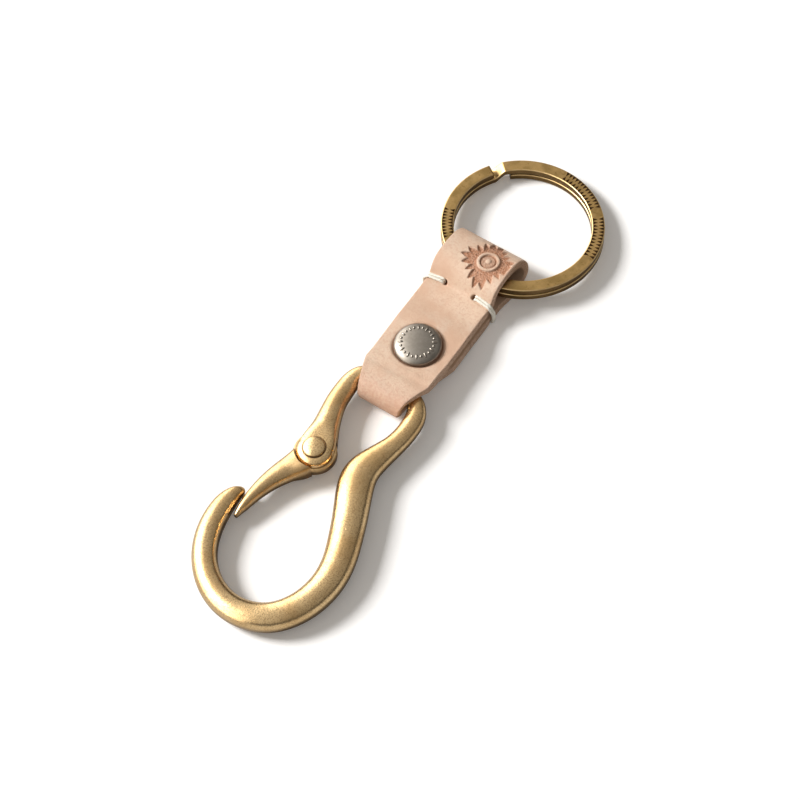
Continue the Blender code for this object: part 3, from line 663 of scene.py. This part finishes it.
def topAt(y):  # height of the strap's top face at the foot of the loop
    best = min((row for row in strapPath if row[1] > 3 and row[0] > 5), key=lambda row: abs(row[0] - y))
    k = strapPath.index(best)
    near, far = strapPath[k - 1], strapPath[k + 1]
    ahead = Vector((far[0] - near[0], far[1] - near[1])).normalized()
    return best[1] + best[2] / 2 / max(ahead.x, 0.4)


snapMiddle = (*strap["snap"], 0)
strapPath = strapRows()
strapLeather = leatherPiece("strapLeather", strapPath, strapHalf, False)
carve(strapLeather, [("DIFFERENCE", "socketSeat", cylinderOf(4.4, 3.3, 6.0, snapMiddle))])
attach(strapLeather, "strap")
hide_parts("strap", "strap_ring_loop", "strap_return")

flapLeather = leatherPiece("flapLeather", flapRows(), flapHalf, True)
carve(flapLeather, [("DIFFERENCE", "postSeat", cylinderOf(4.45, 0.5, 2.25, snapMiddle)),
                    ("DIFFERENCE", "studSeat", cylinderOf(3.65, 3.5, 5.1, snapMiddle))])
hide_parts("strap_flap")
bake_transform(flapLeather)
print("leather made:", len(strapLeather.data.polygons), "faces")


# Stitches: Geometry Nodes twist a lobed thread along each path

def geometryTree(name, *inputs):  # inputs: (label, kind of socket)
    tree = bpy.data.node_groups.new(name, "GeometryNodeTree")
    for label, kind in (("Geometry", "Geometry"), *inputs, ("Material", "Material")):
        tree.interface.new_socket(label, in_out="INPUT", socket_type="NodeSocket" + kind)
    tree.interface.new_socket("Geometry", in_out="OUTPUT", socket_type="NodeSocketGeometry")
    net = Net(tree)
    return net, net.add("NodeGroupInput")


def endTree(net, start, shape):
    real = net.add("GeometryNodeRealizeInstances", {}, {0: shape})
    done = net.add("GeometryNodeSetMaterial", {}, {0: real, "Material": start.also("Material")})
    net.add("NodeGroupOutput", {}, {0: done})
    return net.tree


def grow(name, tree, values, start, body, smooth=True):  # the tree's result on a mesh, as a mesh
    piece = linked(name, start)
    mod = piece.modifiers.new(name, "NODES")
    mod.node_group = tree
    idents = {item.name: item.identifier for item in tree.interface.items_tree
              if item.item_type == "SOCKET" and item.in_out == "INPUT"}
    for label, value in values.items():
        mod[idents[label]] = value
    bakeModifiers(piece)
    if smooth:
        piece.data.shade_smooth()
    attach(piece, body)
    return piece


def pointMesh(name, points, edges=()):
    mesh = bpy.data.meshes.new(name)
    mesh.from_pydata([(Vector(p) + snapAt) * mm for p in points], edges, [])
    return mesh


def twistTree():
    net, start = geometryTree("twistedThread", ("Radius", "Float"), ("Lobe depth", "Float"),
                              ("Turns per metre", "Float"))
    curve = net.add("GeometryNodeMeshToCurve", {}, {0: start})
    curve = net.add("GeometryNodeResampleCurve", {"mode": "LENGTH"}, {0: curve, "Length": 0.00013})
    along = net.add("GeometryNodeSplineParameter").also("Length")
    curve = net.add("GeometryNodeSetCurveTilt", {},
                    {0: curve, "Tilt": along * start.also("Turns per metre") * tau})
    circle = net.add("GeometryNodeCurvePrimitiveCircle", {}, {"Resolution": 18})
    spot = net.add("GeometryNodeInputPosition")
    axes = net.add("ShaderNodeSeparateXYZ", {}, {0: spot})
    angle = net.maths("ARCTAN2", axes.also("Y"), axes.also("X"))
    swell = 1 + start.also("Lobe depth") * net.maths("COSINE", angle * stitch["lobes"])
    spot = net.add("ShaderNodeVectorMath", {"operation": "SCALE"},
                   {0: spot, "Scale": swell * start.also("Radius")})
    circle = net.add("GeometryNodeSetPosition", {}, {0: circle, "Position": spot})
    tube = net.add("GeometryNodeCurveToMesh", {},
                   {0: curve, "Profile Curve": circle, "Fill Caps": True})
    return endTree(net, start, tube)


def stitchPath(sign):  # down through the hole, out under the strap, up round its edge, twice
    t = stitch["thread"] / 2
    low = t + 0.1
    x0, out = stitch["x"], strap["lowHalf"] + t + 0.12
    turn = [(x0, low + 1.0), (x0, 4.6), (x0 + 0.12, None), (x0 + 0.9, None), (6.6, None),
            (strap["topHalf"] - 0.35, None), (strap["topHalf"] + 0.42, 5.0), (out, 4.0), (out, 1.3),
            (strap["lowHalf"] + 0.05, low + 0.1), (8.0, low), (x0 + 1.1, low), (x0 + 0.15, low + 0.15)]
    rows = []
    for k in range(2 * len(turn) - 2):
        x, z = turn[k % len(turn)]
        share = k // len(turn) + max(k % len(turn) - (len(turn) - 4), 0) / 4
        y = threadY(x) + stitch["pitch"] * (share - 0.5)
        if z is None:
            inHole = x < x0 + 0.5
            z = topAt(y) + t - (0.45 if inHole else 0.14)
        rows.append((sign * x, y, z))
    return smoothRows(rows, 8)


threadTree = twistTree()
for side, sign in (("left", -1), ("right", 1)):
    name, path = side + "Stitch", stitchPath(sign)
    piece = grow(name, threadTree, {
        "Radius": stitch["thread"] / 2 * mm, "Lobe depth": stitch["lobeDeep"],
        "Turns per metre": stitch["turnsPerMm"] / mm * sign, "Material": thread},
        pointMesh(name, path, [(k, k + 1) for k in range(len(path) - 1)]), "strap")
    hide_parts("stitch_" + side)
print("stitches made")


# Snap cap

cap = {  # "line" is the dome as (radius, height), "shank" goes on with its hollow underside
    "low": 7.1, "sides": 128, "marks": 24, "markR": 4.0, "markLong": 1.35, "markWide": 0.55,
    "line": [(0, 1.98), (0.9, 1.965), (1.8, 1.92), (2.8, 1.83), (3.6, 1.71), (4.3, 1.55), (4.88, 1.36),
             (5.27, 1.12), (5.52, 0.86), (5.65, 0.60), (5.69, 0.38), (5.64, 0.17), (5.48, 0.04),
             (5.25, 0.0)],
    "shank": [(4.7, 0), (4.5, 0.25), (1.45, 0.25), (1.45, -1.5), (1.9, -1.55), (1.85, -1.75),
              (0.95, -1.75), (0.95, 0.6), (0, 0.6)],
}


def capHeight(r):
    for (r0, z0), (r1, z1) in zip(cap["line"], cap["line"][1:]):
        if r <= r1:
            return z0 + (z1 - z0) * (r - r0) / (r1 - r0)
    return 0.0


capShape = turned([(max(r, 0.0), cap["low"] + z) for r, z in smoothRows(cap["line"], 4) + cap["shank"]],
                  snapMiddle, cap["sides"])
snapCap = newObject("snapCap", capShape, gunmetal, "strap", 45)
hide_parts("snap_cap")


def markTree():  # a ring of raised dashes that alternate with dots
    net, start = geometryTree("capMarks", ("Count", "Int"), ("Ring radius", "Float"),
                              ("Long", "Float"), ("Wide", "Float"), ("Height", "Float"),
                              ("Slope", "Float"))
    ring = net.add("GeometryNodeMeshCircle", {}, {"Vertices": start.also("Count"),
                                                  "Radius": start.also("Ring radius")})
    ball = net.add("GeometryNodeMeshUVSphere", {}, {"Segments": 10, "Rings": 6, "Radius": 1.0})
    number = net.add("GeometryNodeInputIndex")
    odd = net.maths("MODULO", number, 2.0)
    size = net.add("ShaderNodeCombineXYZ", {}, {
        "X": start.also("Long") * (0.5 - 0.22 * odd), "Y": start.also("Wide") * (0.5 + 0.1 * odd),
        "Z": start.also("Wide") * 0.5})
    angle = number * tau / start.also("Count")
    turn = net.add("ShaderNodeCombineXYZ", {}, {"X": 0.0, "Y": start.also("Slope"), "Z": angle})
    marks = net.add("GeometryNodeInstanceOnPoints", {},
                    {0: ring, "Instance": ball, "Rotation": turn, "Scale": size})
    shift = net.add("ShaderNodeCombineXYZ", {}, {
        "X": (snapAt.x + strap["snap"][0]) * mm, "Y": (snapAt.y + strap["snap"][1]) * mm,
        "Z": start.also("Height")})
    moved = net.add("GeometryNodeTransform", {}, {0: marks, "Translation": shift})
    return endTree(net, start, moved)


fall = capHeight(cap["markR"] - 0.3) - capHeight(cap["markR"] + 0.3)
capMarks = grow("capMarks", markTree(), {
    "Count": cap["marks"], "Ring radius": cap["markR"] * mm, "Long": cap["markLong"] * mm,
    "Wide": cap["markWide"] * mm, "Height": (cap["low"] + capHeight(cap["markR"]) + 0.02) * mm,
    "Slope": atan(fall / 0.6), "Material": gunmetal}, bpy.data.meshes.new("capMarks"), "strap")
print("snap made")


# Brass hook, gate and rivet

hook = {  # "bow" and "gate" are (x, y, width, height) along each bar
    "bow": [
        (-13.9, -53.0, 2.8, 3.8), (-14.4, -54.0, 3.7, 4.5), (-14.9, -56.0, 4.65, 5.25),
        (-15.0, -59.2, 5.4, 5.8), (-14.2, -64.2, 5.8, 6.1), (-11.8, -69.6, 5.9, 6.2),
        (-7.6, -74.1, 6.0, 6.3), (-2.2, -76.8, 6.2, 6.4), (3.8, -77.2, 6.4, 6.6),
        (10.0, -74.7, 6.8, 6.8), (14.3, -69.1, 7.0, 6.9), (16.1, -62.2, 7.3, 7.0),
        (15.5, -55.7, 7.6, 7.0), (13.3, -49.6, 7.9, 7.0), (10.9, -43.9, 8.2, 7.0),
        (8.2, -38.7, 8.6, 6.9), (6.85, -34.4, 8.4, 6.6), (7.8, -30.2, 6.8, 6.0),
        (9.2, -25.8, 5.4, 5.3), (10.0, -21.8, 5.0, 4.9), (10.1, -18.2, 5.0, 4.7),
        (9.6, -15.3, 4.8, 4.4), (7.9, -12.8, 4.2, 4.1), (5.3, -11.7, 3.9, 3.85),
        (2.6, -11.6, 3.8, 3.8), (0.0, -11.6, 3.8, 3.8), (-2.6, -11.6, 3.8, 3.8),
        (-5.0, -11.7, 3.9, 3.85), (-7.35, -12.8, 4.1, 4.1), (-8.3, -15.3, 4.6, 4.4),
        (-8.4, -18.4, 4.9, 4.9), (-8.2, -22.2, 5.1, 5.2), (-7.2, -26.4, 5.8, 5.7),
        (-6.1, -30.2, 7.1, 6.05), (-5.35, -32.9, 8.3, 6.15), (-4.95, -34.6, 8.85, 6.15)],
    "floorY": -77.2, "floorZ": 3.35, "power": 2.15, "eyePower": 2.3, "eyeReach": (2.0, 8.0),
    "sides": 56, "steps": 7, "relax": 8, "bend": (-50, -25), "bendRelax": 16, "sharp": 38,
    "eye": (-4.75, -35.6), "eyeR": 4.5, "eyeThick": 6.2, "eyeRound": 1.9, "slot": 2.7, "slotR": 5.45,
    "tongueR": 5.1, "tongueThick": 2.3, "gap": 0.3, "pin": 1.5, "clear": 0.12,
    "headR": 2.65, "head": 1.05, "headRim": 0.16, "headGap": 0.1, "pocketR": 2.85, "pocketDeep": 1.55,
    "tipLong": 1.45, "tipLean": 0.6, "gateTip": 0.4, "past": 9,
    "gate": [
        (-5.8, -38.8, 7.0, 6.1), (-6.4, -40.1, 6.7, 5.9), (-8.0, -43.0, 5.7, 5.3),
        (-9.6, -47.1, 4.5, 4.6), (-10.6, -51.4, 3.4, 3.9), (-11.05, -55.4, 2.3, 3.0),
        (-11.1, -58.2, 1.0, 1.7)],
}


def hookHeight(y):
    slope = (strap["bailZ"] - hook["floorZ"]) / (strap["bailY"] - hook["floorY"])
    return hook["floorZ"] + (y - hook["floorY"]) * slope


def ovalPoints(wide, high, count, power):
    points = []
    for k in range(count):
        a = tau * (k + 0.5) / count
        c, s = cos(a), sin(a)
        points.append((copysign(abs(c) ** (2 / power), c) * wide / 2,
                       copysign(abs(s) ** (2 / power), s) * high / 2))
    return points


def bar(rows):
    rings = []
    for i, (x, y, wide, high) in enumerate(rows):
        near = dist((x, y), hook["eye"])
        power = hook["power"] + hook["eyePower"] * (1 - ease(near, *hook["eyeReach"]))
        before, after = rows[max(i - 1, 0)], rows[min(i + 1, len(rows) - 1)]
        ahead = Vector((after[0] - before[0], after[1] - before[1], 0)).normalized()
        across = Vector((-ahead.y, ahead.x, 0))
        centre = Vector((x, y, hookHeight(y)))
        rings.append([centre + across * u + Vector((0, 0, v))
                      for u, v in ovalPoints(wide, high, hook["sides"], power)])
    return skinRings(rings)


def domeEnd(rows, length, steps, begin=0.0):  # rounds off a bar's last end, from the angle begin on
    last, before = rows[-1], rows[-2]
    away = Vector((last[0] - before[0], last[1] - before[1])).normalized()
    tip = []
    for k in range(1, steps + 1):
        a = begin + (pi / 2 - begin) * k / steps
        shrink = max(cos(a) / cos(begin), 0.06)
        far = length * (sin(a) - sin(begin)) / (1 - sin(begin))
        tip.append([last[0] + away.x * far, last[1] + away.y * far, last[2] * shrink, last[3] * shrink])
    return rows + tip


def rimOf(radius, thick, rounding):  # the (radius, height) profile of a disc's rounded rim
    h, e = thick / 2, rounding
    arc = [(radius - e + e * sin(a), h - e + e * cos(a)) for a in
           (pi / 2 * k / 6 for k in range(7))]
    return arc + [(r, -z) for r, z in reversed(arc)]


def barPiece(name, rows, mat, cuts, body, node):  # a bar with the eye's cuts, in place of a CAD node
    piece = newObject(name, bar(rows), mat, None)
    carve(piece, cuts)
    piece.data.set_sharp_from_angle(angle=radians(hook["sharp"]))
    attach(piece, body)
    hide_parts(node)
    return piece


eye = Vector((*hook["eye"], hookHeight(hook["eye"][1])))
past = hook["past"]  # cutters end this far past the eye's middle
bore = hook["pin"] + hook["clear"]
bowRows = relax(smoothRows(hook["bow"], hook["steps"]), hook["relax"])
begin, end = (next(k for k, row in enumerate(bowRows) if row[0] > 0 and row[1] > y)
              for y in hook["bend"])  # where the bow meets the right arm in a longer bend
bowRows[begin:end] = relax(bowRows[begin:end], hook["bendRelax"])
bowRows = domeEnd(bowRows[::-1], hook["tipLong"], 9, hook["tipLean"])[::-1]
half = hook["eyeThick"] / 2
eyeLine = [(0, half)] + rimOf(hook["eyeR"], hook["eyeThick"], hook["eyeRound"]) + [(0, -half)]
half = hook["slot"] / 2
hookBrass = barPiece("hookBrass", bowRows, brass, [
    ("UNION", "eyeForm", turned(eyeLine, eye)),
    ("DIFFERENCE", "slotForm", cylinderOf(hook["slotR"], -half, half, eye)),
    ("DIFFERENCE", "pinForm", cylinderOf(bore, -past, past, eye)),
], "hook", "hook_body")

gateRows = domeEnd(smoothRows(hook["gate"], 8), hook["gateTip"], 4)
half = hook["tongueThick"] / 2
reach = hook["eyeR"] + hook["gap"]
tongue = [(hook["pocketR"], half)] + rimOf(hook["tongueR"], hook["tongueThick"], 0.3)
floorZ = half - hook["pocketDeep"]
tongue += [(bore, -half), (bore, floorZ), (hook["pocketR"], floorZ)]
gateBrass = barPiece("gateBrass", gateRows, gateMetal, [
    ("DIFFERENCE", "shoulderTop", cylinderOf(reach, half, past, eye)),
    ("DIFFERENCE", "shoulderLow", cylinderOf(reach, -past, -half, eye)),
    ("UNION", "tongueForm", turned(tongue, eye)),
], "gate", "gate")

foot, rim = hook["eyeThick"] / 2 + hook["headGap"], hook["headRim"]
headLine = [(hook["headR"] * sin(a), foot + rim + (hook["head"] - rim) * cos(a))
            for a in (pi / 2 * k / 14 for k in range(15))]
headLine += [(hook["headR"] - 0.05, foot + 0.03), (hook["headR"] - 0.12, foot), (hook["pin"], foot)]
rivetLine = headLine + [(r, -z) for r, z in reversed(headLine)]
gateRivet = newObject("gateRivet", turned(rivetLine, eye), brass, "hook", 45)
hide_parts("gate_rivet")
print("hook made:", len(hookBrass.data.polygons), "faces")


# Split ring

ring = {  # "zones" are the toothed stretches, from and to degrees
    "outer": 19.75, "band": 3.1, "coil": 1.6, "gap": 0.42, "centre": (2.7, 41.3), "tilt": 5.0,
    "crank": 145.5, "span": 8.5, "first": 4.5, "last": 718.4, "edge": 0.26,
    # painted shade on the band's walls and cut ends, then a painted highlight on the crank
    "sideShade": 0.72, "endShade": 0.8, "crankHighlight": 0.4,
    "toothPitch": 0.97, "toothLong": 1.25, "toothWide": 0.95, "toothInset": 0.24,
    "zones": [(1.0, 40.0), (48.5, 88.5), (198.0, 226.0)],
}
ringPlace = (Matrix.Translation((ring["centre"][0], ring["centre"][1] + ring["outer"], 0))
             @ Matrix.Rotation(-radians(ring["tilt"]), 4, "X")
             @ Matrix.Translation((0, -ring["outer"], 0)))


def bandSection():  # (u, v, how rubbed): a flat band with rounded edges that are rubbed bright
    w, h, e = ring["band"] / 2, ring["coil"] / 2, ring["edge"]
    quarter = [(w - e + e * sin(a), h - e + e * cos(a), sin(2 * a) ** 0.6)
               for a in (pi / 2 * k / 6 for k in range(7))]
    flat = [(-w + e + (2 * w - 2 * e) * k / 8, h, 0.0) for k in range(1, 8)]
    side = [(w, h - e - (2 * h - 2 * e) * k / 4, 0.0) for k in range(1, 4)]
    right = quarter + side + [(u, -v, wearAndHighlight) for u, v, wearAndHighlight in reversed(quarter)]
    low = [(u, -h, wearAndHighlight) for u, v, wearAndHighlight in reversed(flat)]
    left = [(-u, v, wearAndHighlight) for u, v, wearAndHighlight in reversed(right)]
    return right + low + left + flat


def ringRings():
    radius = ring["outer"] - ring["band"] / 2
    stepUp = ring["coil"] + ring["gap"]
    angles, a = [], ring["span"] + ring["first"]
    while a < ring["last"] - 0.1:
        angles.append(a)
        a += 0.5 if 358 < a < 362 + ring["span"] else 2.0
    angles.append(ring["last"])
    section = bandSection()
    rings, masks = [], {"wearAndHighlight": [], "wallShade": []}
    for a in angles:
        run = (a - 360.0) / ring["span"]
        climb = 0.45 * ease(run, 0.0, 1.0) + 0.55 * part(run, 0.0, 1.0)
        turnAngle = radians(ring["crank"] - a)
        out = Vector((cos(turnAngle), sin(turnAngle), 0))
        onCrank = ease(a, 360.2, 361.2) * (1 - ease(a, 359 + ring["span"], 360 + ring["span"]))
        cutEnd = 1 - ease(min(a - angles[0], angles[-1] - a), 0.0, 1.2)
        height = ring["coil"] / 2 + stepUp * climb
        rings.append([ringPlace @ (out * (radius + u) + Vector((0, 0, height + v)))
                      for u, v, wearAndHighlight in section])
        # rubbed edges, and a painted highlight over the whole crank
        masks["wearAndHighlight"].append([max(wearAndHighlight, ring["crankHighlight"] * onCrank) for u, v, wearAndHighlight in section])
        # painted shade on the band's walls and at its cut ends
        sides = [ring["sideShade"] * (1 - wearAndHighlight) if abs(u) > ring["band"] / 2 - 0.01 else 0.0
                 for u, v, wearAndHighlight in section]
        masks["wallShade"].append([max(ring["endShade"] * cutEnd, dark) for dark in sides])
    return rings, masks


splitRing = newObject("splitRing", skinRings(*ringRings()), ringBrass, "ring", 40)
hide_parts("split_ring")


def toothTree():  # a thin triangle on each point, turned as the point's "facing" attribute says
    net, start = geometryTree("bandTeeth", ("Long", "Float"), ("Wide", "Float"))
    tooth = net.add("GeometryNodeMeshCone", {"fill_type": "NGON"},
                    {"Vertices": 3, "Radius Top": 0.9, "Radius Bottom": 1.0, "Depth": 0.5})
    size = net.add("ShaderNodeCombineXYZ", {}, {
        "X": start.also("Long") * 0.667, "Y": start.also("Wide") * 0.577, "Z": 0.00005})
    facing = net.add("GeometryNodeInputNamedAttribute", {"data_type": "FLOAT_VECTOR"},
                     {"Name": "facing"})
    marks = net.add("GeometryNodeInstanceOnPoints", {},
                    {0: start, "Instance": tooth, "Rotation": facing, "Scale": size})
    return endTree(net, start, marks)


def toothPoints():
    points, turns = [], []
    high = 2 * ring["coil"] + ring["gap"] + 0.004
    inset = ring["toothInset"] + ring["toothLong"] / 3
    rims = ((ring["outer"] - inset, pi), (ring["outer"] - ring["band"] + inset, 0.0))
    for low, far in ring["zones"]:
        for radius, flip in rims:
            count = round(radians(far - low) * radius / ring["toothPitch"])
            for k in range(count):
                a = radians(low + (far - low) * (k + 0.5) / count)
                points.append(ringPlace @ Vector((radius * cos(a), radius * sin(a), high)))
                turns.append((ringPlace.to_3x3() @ Matrix.Rotation(a + flip, 3, "Z")).to_euler())
    mesh = pointMesh("bandTeeth", points)
    facing = mesh.attributes.new("facing", "FLOAT_VECTOR", "POINT")
    for item, turn in zip(facing.data, turns):
        item.vector = tuple(turn)
    return mesh


bandTeeth = grow("bandTeeth", toothTree(), {
    "Long": ring["toothLong"] * mm, "Wide": ring["toothWide"] * mm, "Material": darkRecess},
    toothPoints(), "ring", False)
print("ring made")


# Pieces kept from the CAD model: the snap's inner pieces and the gate's spring

for node, mat in (("snap_socket", plated), ("snap_spring", steel), ("snap_stud", plated),
                  ("snap_post", gunmetal), ("gate_spring", steel)):
    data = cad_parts[node].data
    data.materials.clear()
    data.materials.append(mat)


# Floor, light and camera

floor = {"half": 3, "diffuse": (0.80, 0.80, 0.80), "inMetal": (0.62, 0.61, 0.60),
         "seen": (0.985, 0.975, 0.965), "glow": 0.08}
keyLight = {"from": (-0.74, -0.25, 0.66), "far": 1.6, "size": 0.52, "watts": 32.0}
room = {  # strengths: "ambient" lights everything, the others are mirrored by metal alone
    "ambient": 0.345, "overhead": 0.60, "right": 0.34, "leftBox": 3.4, "horizon": 0.025,
    "side": (-0.94, -0.34, 0.0), "tint": (1, 0.95, 0.88),
}


def makeFloor():  # white to the camera, darker to metal, which mirrors it
    mesh = bpy.data.meshes.new("paleFloor")
    h = floor["half"]
    mesh.from_pydata([(-h, -h, 0), (h, -h, 0), (h, h, 0), (-h, h, 0)], [], [(0, 1, 2, 3)])
    mat = bpy.data.materials.new("paleFloor")
    net = emptyNet(mat)
    path = net.add("ShaderNodeLightPath")
    shown = net.maths("MAXIMUM", path, path.also("Is Transmission Ray"))
    pale, inMetal, white = (net.add("ShaderNodeBsdfDiffuse", {}, {"Color": floor[key]})
                            for key in ("diffuse", "inMetal", "seen"))
    pale = net.add("ShaderNodeMixShader", {}, {0: path.also("Is Glossy Ray"), 1: pale, 2: inMetal})
    glow = net.add("ShaderNodeEmission", {}, {"Color": (1, 1, 1), "Strength": floor["glow"]})
    seen = net.add("ShaderNodeAddShader", {}, {0: white, 1: glow})
    mixed = net.add("ShaderNodeMixShader", {}, {0: shown, 1: pale, 2: seen})
    net.add("ShaderNodeOutputMaterial", {}, {0: mixed})
    mesh.materials.append(mat)
    linked("paleFloor", mesh)


def makeLight(name, spec):
    data = bpy.data.lights.new(name, "AREA")
    data.shape, data.size, data.energy = "SQUARE", spec["size"], spec["watts"]
    lamp = linked(name, data)
    away = Vector(spec["from"]).normalized()
    lamp.location = away * spec["far"]
    lamp.rotation_mode = "QUATERNION"
    lamp.rotation_quaternion = away.to_track_quat("Z", "Y")


def makeRoom():  # metal mirrors a soft box on the left, a grey room and a dark horizon
    world = bpy.data.worlds.new("studio")
    bpy.context.scene.world = world
    net = emptyNet(world)
    path = net.add("ShaderNodeLightPath")
    way = net.add("ShaderNodeTexCoord").also("Generated")
    side = net.vector("DOT_PRODUCT", way, room["side"]).also("Value")
    rise = net.add("ShaderNodeSeparateXYZ", {}, {0: way}).also("Z")
    plain = net.step(side, -0.7, 0.1, room["right"], room["overhead"])
    plain = (plain - room["horizon"]) * net.step(rise, 0.10, 0.44) + room["horizon"]
    left = net.step(side, 0.21, 0.54)
    shiny = plain * (1 - left) + left * room["leftBox"]
    level = path.also("Is Glossy Ray") * (shiny - room["ambient"]) + room["ambient"]
    level = path * (1 - level) + level  # the camera sees white
    soft = net.add("ShaderNodeBackground", {}, {"Color": room["tint"], "Strength": level})
    net.add("ShaderNodeOutputWorld", {}, {0: soft})


makeFloor()
makeLight("key", keyLight)
makeRoom()

cameraData = bpy.data.cameras.new("camera")
cameraData.lens, cameraData.sensor_width = 105.75, 36.0
cameraData.clip_start, cameraData.clip_end = 0.02, 20.0
camera = linked("camera", cameraData)
camera.matrix_world = Matrix((  # the photo's view
    (0.829642, -0.4654, 0.308377, 0.169903), (0.555591, 0.742546, -0.374091, -0.208241),
    (-0.054882, 0.481693, 0.87462, 0.481348), (0, 0, 0, 1)))
bpy.context.scene.camera = camera
bpy.context.scene.view_settings.view_transform = "Standard"

bpy.context.view_layer.update()
